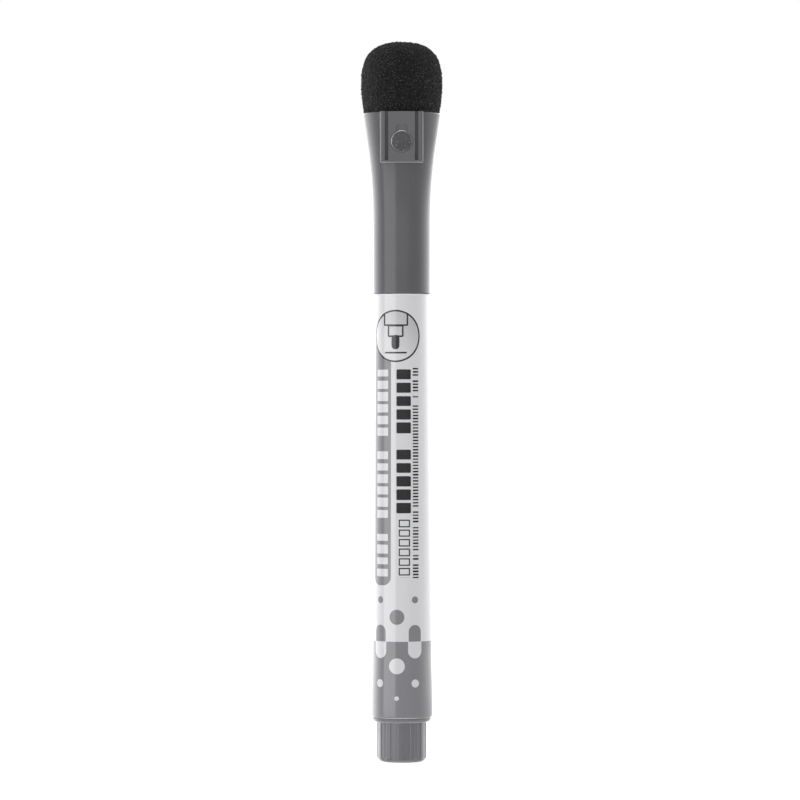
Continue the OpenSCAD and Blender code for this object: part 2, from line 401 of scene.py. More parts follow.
def drilled(name, radius, depth, face, z, chamfer=0.04 * MM):
    """A round tool that enters a face looking along -Y and leaves a small chamfer round the hole."""
    wide = radius + chamfer
    outline = [(0, 0), (radius, 0), (radius, depth - chamfer)]
    outline += [(wide, depth), (wide, depth + MM), (0, depth + MM)]
    tool = turned(name, outline, columns=96)
    tool.data.transform(Matrix.Translation((0, face + depth, z)) @ Matrix.Rotation(math.pi / 2, 4, "X"))
    return tool


# %% The pad, its slots and its pocket
magnet_low, magnet_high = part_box("magnet")
magnet_z = (magnet_low.z + magnet_high.z) / 2
magnet_r = (magnet_high.x - magnet_low.x) / 2
PAD_FACE, PAD_HALF, PAD_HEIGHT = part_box("cap_shell")[0].y, 3.85 * MM, 9.1 * MM
BAR_HALF, SLOT_WIDTH, SLOT_DEPTH, SLOT_LIP = 2.4 * MM, 0.6 * MM, 1.0 * MM, 0.35 * MM
PAD_CORNER, PAD_BACK = 0.42 * MM, -3.9 * MM
pad_z = rim_z - PAD_HEIGHT
pad = block(
    "pad",
    [
        (-PAD_HALF, PAD_FACE, PAD_CORNER),
        (PAD_HALF, PAD_FACE, PAD_CORNER),
        (PAD_HALF, PAD_BACK, 0),
        (-PAD_HALF, PAD_BACK, 0),
    ],
    pad_z,
    rim_z,
    lower_edge=0.16 * MM,
)
for side in (-1, 1):
    near, far = sorted((side * BAR_HALF, side * (BAR_HALF + SLOT_WIDTH)))
    front, back = PAD_FACE - MM, PAD_FACE + SLOT_DEPTH
    slot = block(
        "slot",
        [(near, front, 0), (far, front, 0), (far, back, 0.1 * MM), (near, back, 0.1 * MM)],
        pad_z + SLOT_LIP,
        rim_z + MM,
    )
    cut(pad, slot)
edges = pad.modifiers.new("edges", "BEVEL")
edges.width, edges.segments, edges.limit_method, edges.angle_limit = 0.08 * MM, 2, "ANGLE", math.radians(50)
settle(pad)
DIMPLE_R, DIMPLE_DEPTH, MAGNET_GAP = 0.95 * MM, 0.2 * MM, 0.01 * MM
dimple_z = magnet_z + magnet_r + 0.2 * MM
cut(pad, drilled("dimple", DIMPLE_R, DIMPLE_DEPTH, PAD_FACE, dimple_z, chamfer=0.1 * MM))
cut(pad, drilled("pocket", magnet_r + MAGNET_GAP, magnet_high.y - PAD_FACE, PAD_FACE, magnet_z))
count_faces(pad)

# %% Joining the pad and cutting out the two rooms
NECK_CLEAR_R, CUP_SEAT_R = 4.45 * MM, 4.25 * MM
BEAD_UP, BEAD_OUT, BEAD_HALF, GROOVE_HALF = 2.0 * MM, 0.1 * MM, 0.35 * MM, 0.4 * MM
POCKET_FLOOR_R, POCKET_RIM_R, PARTITION = 4.8 * MM, 6.1 * MM, 1.2 * MM
neck_top = cup_low - 0.1 * MM
room_top = pocket_z - PARTITION
room_outline = [
    (0, mouth_z - MM, 0),
    (NECK_CLEAR_R + 0.3 * MM, mouth_z - MM, 0),
    (NECK_CLEAR_R + 0.3 * MM, mouth_z, 0),
    (NECK_CLEAR_R, mouth_z + 0.3 * MM, 0),
    (NECK_CLEAR_R, mouth_z + BEAD_UP - GROOVE_HALF, 0),
    (NECK_CLEAR_R + BEAD_OUT, mouth_z + BEAD_UP, 0.3 * MM),
    (NECK_CLEAR_R, mouth_z + BEAD_UP + GROOVE_HALF, 0),
    (NECK_CLEAR_R, neck_top, 0),
    (CUP_SEAT_R, neck_top, 0.1 * MM),
    (CUP_SEAT_R, room_top, 0.3 * MM),
    (0, room_top, 0),
]
lower_room = turned("lower_room", rounded(room_outline), columns=256)
room_outline = [
    (0, pocket_z, 0),
    (POCKET_FLOOR_R, pocket_z, 0.3 * MM),
    (POCKET_RIM_R, rim_z, 0.1 * MM),
    (POCKET_RIM_R + 0.4 * MM, rim_z + 0.4 * MM, 0),
    (0, rim_z + 0.4 * MM, 0),
]
upper_room = turned("upper_room", rounded(room_outline), columns=256)
cut(cap, pad, "UNION")
cut(cap, lower_room)
cut(cap, upper_room)
smooth_shading(cap)
only_material(cap, grey_plastic)
count_faces(cap)
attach(cap, "cap")
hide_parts("cap_shell")

# %% [markdown]
# ## The barrel
# The barrel is one white moulding: a long, slightly tapered tube that steps down to a neck with a snap
# bead, a land for the inner cap to seal on, a tapered nose and a short tube for the nib. All of that but
# the rear edge hides under film and cap, and it is what shows when the cap comes off.

# %% The barrel
BARREL_REAR_R, BARREL_WAIST_R, BARREL_FRONT_R = 5.49 * MM, 5.34 * MM, 5.12 * MM
REAR_FLARE = (barrel_low + 3.7 * MM, barrel_low + 10.7 * MM)
NECK_R, LAND_R, NOSE_R, TUBE_R, NIB_BORE_R = 4.3 * MM, 3.7 * MM, 2.4 * MM, 2.0 * MM, 1.5 * MM
BARREL_WALL, CORE_BORE_R, REAR_ROUND = 1.0 * MM, 3.6 * MM, 0.5 * MM
land_z, nose_z, tube_z = mouth_z + 7 * MM, mouth_z + 10 * MM, mouth_z + 16 * MM


def barrel_side(skin=0.0):
    """The barrel's long outside as (radius, height) points, grown outwards by a skin."""
    return [
        (BARREL_REAR_R + skin, barrel_low),
        (BARREL_REAR_R + skin, REAR_FLARE[0]),
        (BARREL_WAIST_R + skin, REAR_FLARE[1]),
        (BARREL_FRONT_R + skin, mouth_z),
    ]


rear, flared, waist, shoulder = barrel_side()
barrel_outline = [
    (*rear, REAR_ROUND),
    (*flared, 0),
    (*waist, 0),
    (*shoulder, 0.12 * MM),
    (NECK_R, mouth_z, 0),
    (NECK_R, mouth_z + BEAD_UP - BEAD_HALF, 0),
    (NECK_R + BEAD_OUT, mouth_z + BEAD_UP, 0.3 * MM),
    (NECK_R, mouth_z + BEAD_UP + BEAD_HALF, 0),
    (NECK_R, land_z, 0.2 * MM),
    (LAND_R, land_z, 0.1 * MM),
    (LAND_R, nose_z, 0.6 * MM),
    (NOSE_R, tube_z, 0.15 * MM),
    (TUBE_R, tube_z, 0.1 * MM),
    (TUBE_R, nib_mouth_z, 0.2 * MM),
    (NIB_BORE_R, nib_mouth_z, 0.08 * MM),
    (NIB_BORE_R, land_z - MM, 0),
    (CORE_BORE_R, land_z - MM, 0),
    (CORE_BORE_R, mouth_z - MM, 0),
    (BARREL_FRONT_R - BARREL_WALL, mouth_z - MM, 0),
    (BARREL_REAR_R - BARREL_WALL, spigot_top + MM, 0),
    (BARREL_REAR_R - BARREL_WALL, barrel_low, 0.15 * MM),
]
barrel = turned("barrel_tube", rounded(barrel_outline), columns=192, hollow=True)
count_faces(barrel)

# %% [markdown]
# ## Ribs inside the barrel
# Six long ribs hold the ink reservoir clear of the wall, so that air can get past it. They repeat round
# the axis, so a small Geometry Nodes tree makes one and turns the rest: change the count on the modifier
# and they space themselves out again. The tree ends by making its copies real, since a copy that is only
# an instance would be lost when the model is saved.

# %% Geometry Nodes helpers
def shape_tree(name, sizes):
    """A Geometry Nodes tree that takes a mesh and the named sizes, with its maker and its wires."""
    tree = bpy.data.node_groups.new(name, "GeometryNodeTree")
    tree.interface.new_socket("Geometry", in_out="INPUT", socket_type="NodeSocketGeometry")
    for label, size in sizes.items():
        kind = "NodeSocketInt" if isinstance(size, int) else "NodeSocketFloat"
        tree.interface.new_socket(label, in_out="INPUT", socket_type=kind)
    tree.interface.new_socket("Geometry", in_out="OUTPUT", socket_type="NodeSocketGeometry")
    maker = Maker(tree)
    entry = tree.nodes.new("NodeGroupInput")
    wires = {socket.name: Wire(maker, socket) for socket in entry.outputs if socket.name}
    return tree, maker, wires


def close_tree(maker, geometry, material):
    """Ends a tree: makes its copies real and gives them their material."""
    real = maker.value("GeometryNodeRealizeInstances", inputs={"Geometry": geometry})
    inputs = {"Geometry": real, "Material": material}
    finished = maker.value("GeometryNodeSetMaterial", inputs=inputs)
    maker.node("NodeGroupOutput", inputs={"Geometry": finished})


def grow(piece, tree, sizes):
    """Runs a tree on a piece with those sizes and keeps the result as a plain mesh."""
    step = piece.modifiers.new(tree.name, "NODES")
    step.node_group = tree
    for item in tree.interface.items_tree:
        if item.in_out == "INPUT" and item.name in sizes:
            step[item.identifier] = sizes[item.name]
    return settle(piece)


def around_axis(maker, count, one):
    """That many copies of a shape, spaced evenly round the Z axis."""
    spots = maker.value("GeometryNodeMeshLine", inputs={"Count": count, "Offset": (0, 0, 0)})
    step = maker.value("GeometryNodeInputIndex") * math.tau / count
    inputs = {"Points": spots, "Instance": one, "Rotation": maker.vector(Z=step)}
    return maker.value("GeometryNodeInstanceOnPoints", inputs=inputs)


# %% The ribs
RIB_HALF = 0.4 * MM
rib_sizes = {"Count": 6}
rib_inner, rib_outer = CORE_BORE_R, BARREL_FRONT_R - BARREL_WALL / 2
ribs = block(
    "ribs",
    [
        (rib_inner, -RIB_HALF, 0),
        (rib_outer, -RIB_HALF, 0),
        (rib_outer, RIB_HALF, 0),
        (rib_inner, RIB_HALF, 0),
    ],
    spigot_top + 2 * MM,
    mouth_z - 0.5 * MM,
)
tree, maker, wires = shape_tree("ribs round the bore", rib_sizes)
close_tree(maker, around_axis(maker, wires["Count"], wires["Geometry"]), white_plastic)
grow(ribs, tree, rib_sizes)
cut(barrel, ribs, "UNION")
smooth_shading(barrel)
only_material(barrel, white_plastic)
count_faces(barrel)
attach(barrel, "barrel")
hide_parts("barrel")

# %% [markdown]
# ## The printed film
# The decoration is a printed film round the barrel, so it is a piece of its own: a sleeve six
# hundredths of a millimetre thick. A point's angle round the axis and its height turn the sleeve into a
# flat sheet, and shapes are drawn on that sheet as distances: below zero is inside the shape, and
# dividing by a small edge width gives a crisp mask.

# %% The sleeve
film_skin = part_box("printed_film")[1].x - BARREL_REAR_R
FILM_ROWS = 30


def film_side(skin, arc_steps=8):
    """One side of the film: rolled in over the barrel's rounded rear edge, then up to the shoulder."""
    centre_z = barrel_low + REAR_ROUND
    reach = REAR_ROUND + skin
    roll = math.asin((centre_z - film_low) / (REAR_ROUND + film_skin))
    for turn in (roll * (1 - step / arc_steps) for step in range(arc_steps + 1)):
        across = BARREL_REAR_R - REAR_ROUND + reach * math.cos(turn)
        yield Vector((across, centre_z - reach * math.sin(turn)))
    _, flared, waist, shoulder = (Vector(point) for point in barrel_side(skin))
    shoulder.y = film_high
    yield flared
    yield from (waist.lerp(shoulder, step / FILM_ROWS) for step in range(FILM_ROWS + 1))


film = turned("printed_film_sleeve", [*film_side(film_skin), *reversed([*film_side(0)])], 256, hollow=True)
smooth_shading(film)
print("film:", len(film.data.polygons), "faces, skin", round(film_skin / MM, 3), "mm")

# %% [markdown]
# ## Shapes on the flat sheet
# These helpers measure distances in millimetres on the unrolled film. A row of blocks stands in for a
# line of print: it has a line's weight and rhythm, and says nothing. Each block's length comes from a
# noise that is fixed by the block's number, and a few blocks are left out as the spaces between words.

# %% The sheet and its shapes
EDGE = 0.035
PRINT_RADIUS = 5.3


class Sheet:
    """The film unrolled: across is the way round to the right, up the height, both in millimetres."""

    def __init__(self, maker):
        self.maker = maker
        east, north, up = maker.parts(maker.place())
        self.across = east.maths("ARCTAN2", north * -1.0) * PRINT_RADIUS
        self.up = up / MM

    def ink(self, distance):
        """A mask from a distance: 1 inside the shape, 0 outside, with a fine edge."""
        return (0.5 - distance / EDGE).clamped()

    def from_spot(self, azimuth, height, repeats=1):
        """Offsets from a spot given by its angle from the front and its height."""
        turn = PRINT_RADIUS * math.tau
        pitch = turn / repeats
        offset = self.across - (math.radians(azimuth) * PRINT_RADIUS - pitch / 2)
        return offset.maths("FLOORED_MODULO", pitch) - pitch / 2, self.up - height

    def box(self, offset, half, rounding):
        """Distance to a rectangle with rounded corners."""
        beyond = [abs(side) - (reach - rounding) for side, reach in zip(offset, half)]
        outer = self.length(*(side.at_least(0.0) for side in beyond))
        return outer + beyond[0].maths("MAXIMUM", beyond[1]).at_most(0.0) - rounding

    def length(self, first, second):
        return (first * first + second * second).maths("SQRT")

    def disc(self, offset, radius):
        return self.length(*offset) - radius

    def joined(self, *distances):
        """Distance to several shapes together."""
        return functools.reduce(Wire.at_most, distances)

    def dice(self, number):
        """A chance value from 0 to 1 that stays the same for the same number."""
        return self.maker.value("ShaderNodeTexWhiteNoise", {"noise_dimensions": "1D"}, {"W": number})

    def blocks(self, azimuth, top, bottom, width, pitch, fill, gaps=0.0, word=0, seed=0.0, rounding=0.12):
        """Distance to a row of blocks down the film, with gaps by chance or after each word."""
        sideways, _ = self.from_spot(azimuth, 0)
        along = (top - self.up) / pitch
        number = along.maths("FLOOR")
        half = (fill[0] + self.dice(number + seed) * (fill[1] - fill[0])) * pitch / 2
        middle = (along - number - 0.5) * pitch
        missing = (self.dice(number + seed + 0.5) < gaps).at_least(self.up > top).at_least(self.up < bottom)
        if word:
            missing = missing.at_least(number.maths("FLOORED_MODULO", word) > word - 1.5)
        return self.box((sideways, middle), (width / 2, half), rounding) + missing * 10.0


print("print drawn at a radius of", PRINT_RADIUS, "mm")

# %% [markdown]
# ## The decoration
# Three layers make the picture. Marks stand in three columns, in a group at the front and another at the
# back: above the line where the grey begins they are grey on white, and below it white on grey, so they
# simply swap the two colours. A column on each side of the middle one is drawn only once, because the
# distance to the middle is folded over. A grey band with a rounded lower end carries a row of white
# blocks. A thin ring holds a plain sign for a marker's nib, and three rows of blocks run beside it.

# %% The film's ink
GREY_LINE, DOT_GROUPS, DOT_MIDDLE, DOT_COLUMNS = 21.9, 2, -9.4, 36.0
material, maker, drive = finish_named("printed_gloss_film", IOR=1.5, Coat_Weight=0.7, Coat_Roughness=0.06)
sheet = Sheet(maker)
dot_side, height = sheet.from_spot(DOT_MIDDLE, 0, DOT_GROUPS)
column_side = abs(dot_side) - math.radians(DOT_COLUMNS) * PRINT_RADIUS


def pill(half_height, half_width):
    return sheet.box((column_side, height - GREY_LINE), (half_width, half_height), half_width)


below = height * -1.0 + GREY_LINE
marks = sheet.joined(
    sheet.disc((column_side, height - 29.4), 0.63),
    sheet.disc((dot_side, height - 26.3), 1.35),
    pill(3.0, 1.21).at_least(below),
    pill(3.0, 1.33).at_least(below * -1.0),
    sheet.disc((dot_side, height - 17.5), 1.42),
    sheet.disc((column_side, height - 14.4), 0.72),
    sheet.disc((dot_side, height - 11.72), 0.4),
)
foot_grey = abs(sheet.ink(below * -1.0) - sheet.ink(marks))
print("dot groups round the film:", DOT_GROUPS)

# %% The band with its white blocks
BAND_AZIMUTH, BAND_HALF, BAND_TOP, BAND_LOW = -42.5, 1.95, 76.0, 32.0
band_middle, band_reach = (BAND_TOP + BAND_LOW) / 2, (BAND_TOP - BAND_LOW) / 2
band = sheet.box(sheet.from_spot(BAND_AZIMUTH, band_middle), (BAND_HALF, band_reach), 1.5)
size = {"top": 71.2, "bottom": 33.2, "width": 2.6, "pitch": 2.11}
band_blocks = sheet.blocks(BAND_AZIMUTH + 0.8, **size, fill=(0.58, 0.8), word=7, seed=4.0)
band_grey = sheet.ink(band.at_least(band_blocks * -1.0))

# %% The ring and its nib sign
RING_AZIMUTH, RING_HEIGHT, RING_RADIUS, RING_LINE = -12.4, 76.8, 4.55, 0.15
ring_spot = sheet.from_spot(RING_AZIMUTH, RING_HEIGHT)
ring_disc = sheet.disc(ring_spot, RING_RADIUS)
ring = abs(ring_disc) - RING_LINE
sign_across, sign_up = ring_spot
collar = abs(sheet.box((sign_across, sign_up - 0.9), (1.35, 0.95), 0.15)) - RING_LINE
nib_sign = sheet.box((sign_across, sign_up + 1.1), (0.75, 1.3), 0.72)
holder = abs(abs(sign_across) - 2.2) - RING_LINE
holder = holder.at_least(ring_disc).at_least(sign_up * -1.0 + 2.0)
shoulder_line = sheet.box((sign_across, sign_up - 1.95), (2.3, RING_LINE), RING_LINE)
written = sheet.box((sign_across, sign_up + 3.0), (2.1, RING_LINE), RING_LINE)
sign = sheet.joined(ring, collar, nib_sign, holder, shoulder_line, written)
sign_ink = sheet.ink(sign)
band_grey = band_grey * (1 - sheet.ink(ring_disc))

# %% The rows of blocks
OUTLINE_HALF = 0.11
size = {"top": 71.1, "bottom": 44.7, "width": 2.65, "pitch": 2.4}
bold_row = sheet.blocks(4.0, **size, fill=(0.7, 0.86), word=6, seed=21.0, rounding=0.2)
size = {"top": 44.0, "bottom": 33.4, "width": 2.05, "pitch": 1.73}
outer_row = sheet.blocks(5.3, **size, fill=(0.74, 0.82), seed=3.0, rounding=0.1)
fine_row = abs(outer_row + OUTLINE_HALF) - OUTLINE_HALF
size = {"top": 71.2, "bottom": 33.3, "width": 1.15, "pitch": 0.56}
small_row = sheet.blocks(28.4, **size, fill=(0.4, 0.62), gaps=0.16, seed=9.0, rounding=0.06)
black_ink = sheet.joined(bold_row, fine_row, small_row)
black_ink = sheet.ink(black_ink).at_least(sign_ink)

# %% Colouring the film
PAPER_WHITE, PRINT_GREY, PRINT_BLACK = grey(0.61, 0.03), grey(0.205, 0.07), grey(0.02)
grey_ink = foot_grey.at_least(band_grey)
tint = sheet.ink(ring_disc) * ((sign_across + sign_up) / (RING_RADIUS * 2) + 0.3).clamped() * 0.45
under = maker.blend(tint, PAPER_WHITE, PRINT_GREY)
printed = maker.blend(grey_ink, under, PRINT_GREY)
drive("Base Color", maker.blend(black_ink, printed, PRINT_BLACK))
clouding = maker.grain(4 * MM, detail=3)
scuffs = maker.grain(0.3 * MM, detail=1, stretch=(1, 1, 0.03))
any_ink = grey_ink.at_least(black_ink)
drive("Roughness", 0.13 + clouding * 0.05 + (scuffs - 0.64).at_least(0.0) * 0.7 + any_ink * 0.03)
wrinkles = maker.grain(2.2 * MM, detail=1, stretch=(1, 1, 0.1))
drive("Normal", maker.bumps(wrinkles * 0.8 + any_ink * 0.2, 5e-6))
film.data.materials.append(material)
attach(film, "barrel")
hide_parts("printed_film")
print("film shader:", len(material.node_tree.nodes), "nodes")

# %% [markdown]
# ## The fluted end plug
# The plug closes the barrel's rear end. Its grip has twelve flutes that a cutter could have made: each
# has the same floor radius, so it fades out where the plug's rounded end falls below that floor. That is
# a rule, so a Geometry Nodes tree carves them: it takes the plain turned plug and pulls in every point
# that lies inside a flute. Soft edges on the rule give the flutes their small roundings.

# %% The plain plug
GRIP_R, GRIP_TOP, GRIP_ROUND = 4.42 * MM, 7.2 * MM, 0.9 * MM
FLANGE_R, FLANGE_ROUND, SPIGOT_R, PLUG_WALL = 5.35 * MM, 0.7 * MM, 4.44 * MM, 1.3 * MM
GRIP_ROW = 0.15 * MM
grip_rows = round((GRIP_TOP - GRIP_ROUND) / GRIP_ROW)
plug_outline = [
    (0, 0, 0),
    (GRIP_R, 0, GRIP_ROUND),
    *((GRIP_R, GRIP_ROUND + GRIP_ROW * row, 0) for row in range(1, grip_rows)),
    (GRIP_R, GRIP_TOP, 0),
    (FLANGE_R, GRIP_TOP, FLANGE_ROUND),
    (FLANGE_R, barrel_low, 0.08 * MM),
    (SPIGOT_R, barrel_low, 0),
    (SPIGOT_R, spigot_top, 0.3 * MM),
    (GRIP_R - PLUG_WALL, spigot_top, 0.2 * MM),
    (GRIP_R - PLUG_WALL, PLUG_WALL, 0.3 * MM),
    (0, PLUG_WALL, 0),
]
plug = turned("fluted_end_plug", rounded(plug_outline, steps=10), columns=432)
count_faces(plug)

# %% The flute rule
flute_sizes = {
    "Count": 12,
    "Width": 1.4 * MM,
    "Depth": 0.15 * MM,
    "Start": 0.5 * MM,
    "Turn": math.radians(12.25),
    "Softness": 0.16 * MM,
    "Grip": GRIP_R,
    "Top": GRIP_TOP + 0.02 * MM,
}
tree, maker, wires = shape_tree("flutes", flute_sizes)
x, y, z = maker.parts(maker.value("GeometryNodeInputPosition"))
radius = (x * x + y * y).maths("SQRT")
pitch = math.tau / wires["Count"]
aside = (((x.maths("ARCTAN2", y * -1.0) - wires["Turn"]) / pitch + 0.5).maths("FRACT") - 0.5) * pitch
aside = aside * wires["Grip"]
below = (wires["Start"] + wires["Width"] / 2 - z).at_least(0.0)
beyond_slot = (aside * aside + below * below).maths("SQRT") - wires["Width"] / 2
share = (0.5 - beyond_slot / wires["Softness"]).clamped()
share = share * share * (3 - share * 2) * (z < wires["Top"])
pull = (radius - (wires["Grip"] - wires["Depth"])).at_least(0.0) * share

# %% Carving the flutes
inputs = {0: maker.vector(X=x, Y=y), "Scale": pull / radius.at_least(0.1 * MM) * -1.0}
offset = maker.value("ShaderNodeVectorMath", {"operation": "SCALE"}, inputs)
carved = maker.value("GeometryNodeSetPosition", inputs={"Geometry": wires["Geometry"], "Offset": offset})
close_tree(maker, carved, plug_plastic)
grow(plug, tree, flute_sizes)
smooth_shading(plug, weighted=False)
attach(plug, "barrel")
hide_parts("end_plug")
count_faces(plug)

# %% [markdown]
# ## The nib and the inner cap
# The nib is a rod of pressed fibre with a rounded writing tip, soaked in black ink. Under the cap a thin
# milky thimble closes over the nose of the barrel: without it the nib would dry out.

# %% The nib
nib_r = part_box("nib")[1].x
NIB_TIP_R, NIB_SHANK_OUT = 0.7 * MM, 1.0 * MM
nib_outline = [
    (0, nib_foot_z, 0),
    (nib_r, nib_foot_z, 0.1 * MM),
    (nib_r, nib_mouth_z + NIB_SHANK_OUT, 0.5 * MM),
    (NIB_TIP_R * 1.06, nib_tip_z, NIB_TIP_R * 0.82),
    (0, nib_tip_z, 0),
]
nib = turned("bullet_nib", rounded(nib_outline, steps=8), columns=64)
smooth_shading(nib, weighted=False)
material, maker, drive = finish_named("inked_fibre_nib", Specular_IOR_Level=0.35)
strands = maker.grain(0.09 * MM, detail=2, stretch=(1, 1, 0.08))
drive("Base Color", maker.blend(strands, grey(0.006), grey(0.03, 0.11)))
drive("Roughness", 0.5 + strands * 0.3)
drive("Normal", maker.bumps(strands, 2e-5))
nib.data.materials.append(material)
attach(nib, "barrel")
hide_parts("nib")
count_faces(nib)

# %% The inner cap
cup_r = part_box("inner_cap")[1].x
CUP_WALL, CUP_CLEAR, CUP_SEAL = 0.45 * MM, 0.05 * MM, 1.0 * MM
cup_outline = [
    (0, cup_high, 0),
    (cup_r, cup_high, 0.35 * MM),
    (cup_r, cup_low, 0.12 * MM),
    (cup_r - CUP_WALL + 0.12 * MM, cup_low, 0),
    (cup_r - CUP_WALL, cup_low + 0.3 * MM, 0.2 * MM),
    (cup_r - CUP_WALL, nose_z + CUP_SEAL, 0.2 * MM),
    (NOSE_R + CUP_CLEAR, cup_high - CUP_WALL * 2, 0.3 * MM),
    (0, cup_high - CUP_WALL * 2, 0),
]
inner_cap = turned("inner_cap_thimble", rounded(cup_outline), columns=128)
smooth_shading(inner_cap)
inner_cap.data.materials.append(milky_plastic)
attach(inner_cap, "inner_cap")
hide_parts("inner_cap")
count_faces(inner_cap)

# %% [markdown]
# ## The ink reservoir
# The reservoir is a bundle of fine polyester fibre in a clear wrap, with the nib pushed into its front
# end. A Geometry Nodes tree bundles the strands: strand number n stands at n golden angles round the
# axis, at a radius that grows with the root of n, which packs a disc evenly, as seeds do in a sunflower.
# The strands in the middle are cut short, which leaves the well that the nib stands in.

# %% The strand bundle
GOLDEN_ANGLE = math.pi * (3 - math.sqrt(5))
core_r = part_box("ink_reservoir")[1].x
bundle_sizes = {
    "Strands": 420,
    "Strand radius": 0.085 * MM,
    "Radius": core_r,
    "Low": core_low,
    "High": core_high,
    "Well radius": nib_r,
    "Well floor": nib_foot_z,
    "Uneven": 0.15 * MM,
}
tree, maker, wires = shape_tree("fibre bundle", bundle_sizes)
number = maker.value("GeometryNodeInputIndex")
spread = wires["Radius"] - wires["Strand radius"]
reach = ((number + 0.5) / wires["Strands"]).maths("SQRT") * spread
angle = number * GOLDEN_ANGLE
spot = maker.vector(X=reach * angle.maths("COSINE"), Y=reach * angle.maths("SINE"), Z=wires["Low"])
line = maker.value("GeometryNodeMeshLine", inputs={"Count": wires["Strands"], "Offset": (0, 0, 0)})
spots = maker.value("GeometryNodeSetPosition", inputs={"Geometry": line, "Position": spot})
short = maker.chance(Max=wires["Uneven"], Seed=7)
in_well = reach < wires["Well radius"] + wires["Strand radius"]
tall = wires["High"] - wires["Low"] - short - in_well * (wires["High"] - wires["Well floor"])
prism = {"Vertices": 6, "Radius": wires["Strand radius"], "Depth": 1.0}
strand = maker.value("GeometryNodeMeshCylinder", inputs=prism)
inputs = {"Geometry": strand, "Translation": (0, 0, 0.5)}
strand = maker.value("GeometryNodeTransform", inputs=inputs)
inputs = {"Points": spots, "Instance": strand, "Scale": maker.vector(X=1.0, Y=1.0, Z=tall)}
strands = maker.value("GeometryNodeInstanceOnPoints", inputs=inputs)

# %% The reservoir
material, maker_look, drive = finish_named("inked_polyester_fibre", Specular_IOR_Level=0.4)
streaks = maker_look.grain(0.25 * MM, detail=3, stretch=(1, 1, 0.02))
wet = maker_look.grain(3 * MM, detail=2)
drive("Base Color", maker_look.blend(streaks * wet * 2, grey(0.012, 0.14), grey(0.09, 0.14)))
drive("Roughness", 0.35 + streaks * 0.25)
drive("Normal", maker_look.bumps(streaks, 3e-5))
close_tree(maker, strands, material)
bundle = grow(turned("fibre_bundle", [(0, 0), (MM, 0)], columns=8), tree, bundle_sizes)
only_material(bundle, material)
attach(bundle, "barrel")
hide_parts("ink_reservoir")
count_faces(bundle)

# %% The clear wrap
wrap_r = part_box("reservoir_wrap")[1].x
wrap = turned(
    "clear_wrap",
    [(wrap_r, core_low), (wrap_r, core_high), (core_r, core_high), (core_r, core_low)],
    columns=96,
    hollow=True,
)
smooth_shading(wrap, weighted=False)
material, maker, drive = finish_named("clear_wrap_film", Alpha=0.35, IOR=1.5)
creases = maker.grain(1.5 * MM, detail=2, stretch=(1, 1, 0.15))
drive("Base Color", maker.blend(creases, grey(0.7), grey(0.85)))
drive("Roughness", 0.1 + creases * 0.12)
drive("Normal", maker.bumps(creases, 3e-5))
wrap.data.materials.append(material)
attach(wrap, "barrel")
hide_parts("reservoir_wrap")
count_faces(wrap)

# %% [markdown]
# ## The magnet
# A nickel-plated disc sits in the pad a hair below its face. Its plating is bright metal, but small
# magnets tumble together in a barrel when they are plated, so the face is dull and full of tiny nicks.
# The face's dark grey colour is a painted reflection of the dim front, and the rounded rim carries
# a painted highlight: a thin light ring painted into its colour.

# %% The magnet
MAGNET_ROUND = 0.2 * MM
magnet_outline = [
    (0, 0, 0),
    (magnet_r, 0, MAGNET_ROUND),
    (magnet_r, magnet_high.y - magnet_low.y, MAGNET_ROUND),
    (0, magnet_high.y - magnet_low.y, 0),
]
magnet = turned("disc_magnet", rounded(magnet_outline), columns=96)
tipped = Matrix.Rotation(math.pi / 2, 4, "X")
magnet.data.transform(Matrix.Translation((0, magnet_high.y, magnet_z)) @ tipped)
smooth_shading(magnet)
material, maker, drive = finish_named("tumbled_nickel_with_painted_light")
nicks = maker.grain(0.22 * MM, detail=4, roughness=0.65)
smears = maker.grain(1.6 * MM, detail=2)
east, _, up = maker.parts(maker.place())
from_middle = (east * east + (up - magnet_z).maths("POWER", 2)).maths("SQRT")
# Painted highlight: a pale grey ring painted into the colour along the rounded rim, which is also made
# smoother.
painted_rim_highlight = ((from_middle - magnet_r + MAGNET_ROUND) / MAGNET_ROUND * 2.0).clamped()
nicked = ((nicks - 0.56).at_least(0.0) * 6.0).clamped()
# Painted reflection: the plating's dark grey stands in for the dim front that the face mirrors; the lighter
# nicks are wear.
plating_painted_dark = maker.blend(nicked, grey(0.13, 0.08), grey(0.5))
drive("Base Color", maker.blend(painted_rim_highlight, plating_painted_dark, grey(0.75)))
drive("Metallic", 0.9 - nicked * 0.4)
drive("Roughness", 0.3 + smears * 0.25 - painted_rim_highlight * 0.2)
drive("Normal", maker.bumps(nicks, 2.5e-5))
magnet.data.materials.append(material)
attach(magnet, "cap")
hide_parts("magnet")
count_faces(magnet)

# %% [markdown]
# ## The felt eraser
# The eraser is a plug of dense black felt with a squared-off dome. Its surface is a mat of fibre ends,
# so its outline is slightly rough and it catches no clean highlight. The dome is turned on a fine grid
# whose rows are evenly spaced, and then every point is pushed in or out by noise on three scales. A bump in
# the material adds what is finer than the grid.

# %% The felt's outline
felt_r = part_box("eraser")[1].x
FELT_FOOT_R, FELT_BELLY, FELT_POWER, FELT_GRID = 6.84 * MM, 5.5 * MM, 2.6, 0.14 * MM
belly_z = rim_z + FELT_BELLY


def felt_outline(steps=400):
    """The swelling lower side and the squared-off dome, from the rim up to the axis."""
    for share in (step / steps for step in range(steps)):
        yield Vector((felt_r - (felt_r - FELT_FOOT_R) * (1 - share) ** 2, rim_z + FELT_BELLY * share))
    for turn in (math.pi / 2 * step / steps for step in range(steps)):
        across = felt_r * math.cos(turn) ** (2 / FELT_POWER)
        yield Vector((across, belly_z + (felt_top - belly_z) * math.sin(turn) ** (2 / FELT_POWER)))
    yield Vector((0, felt_top))


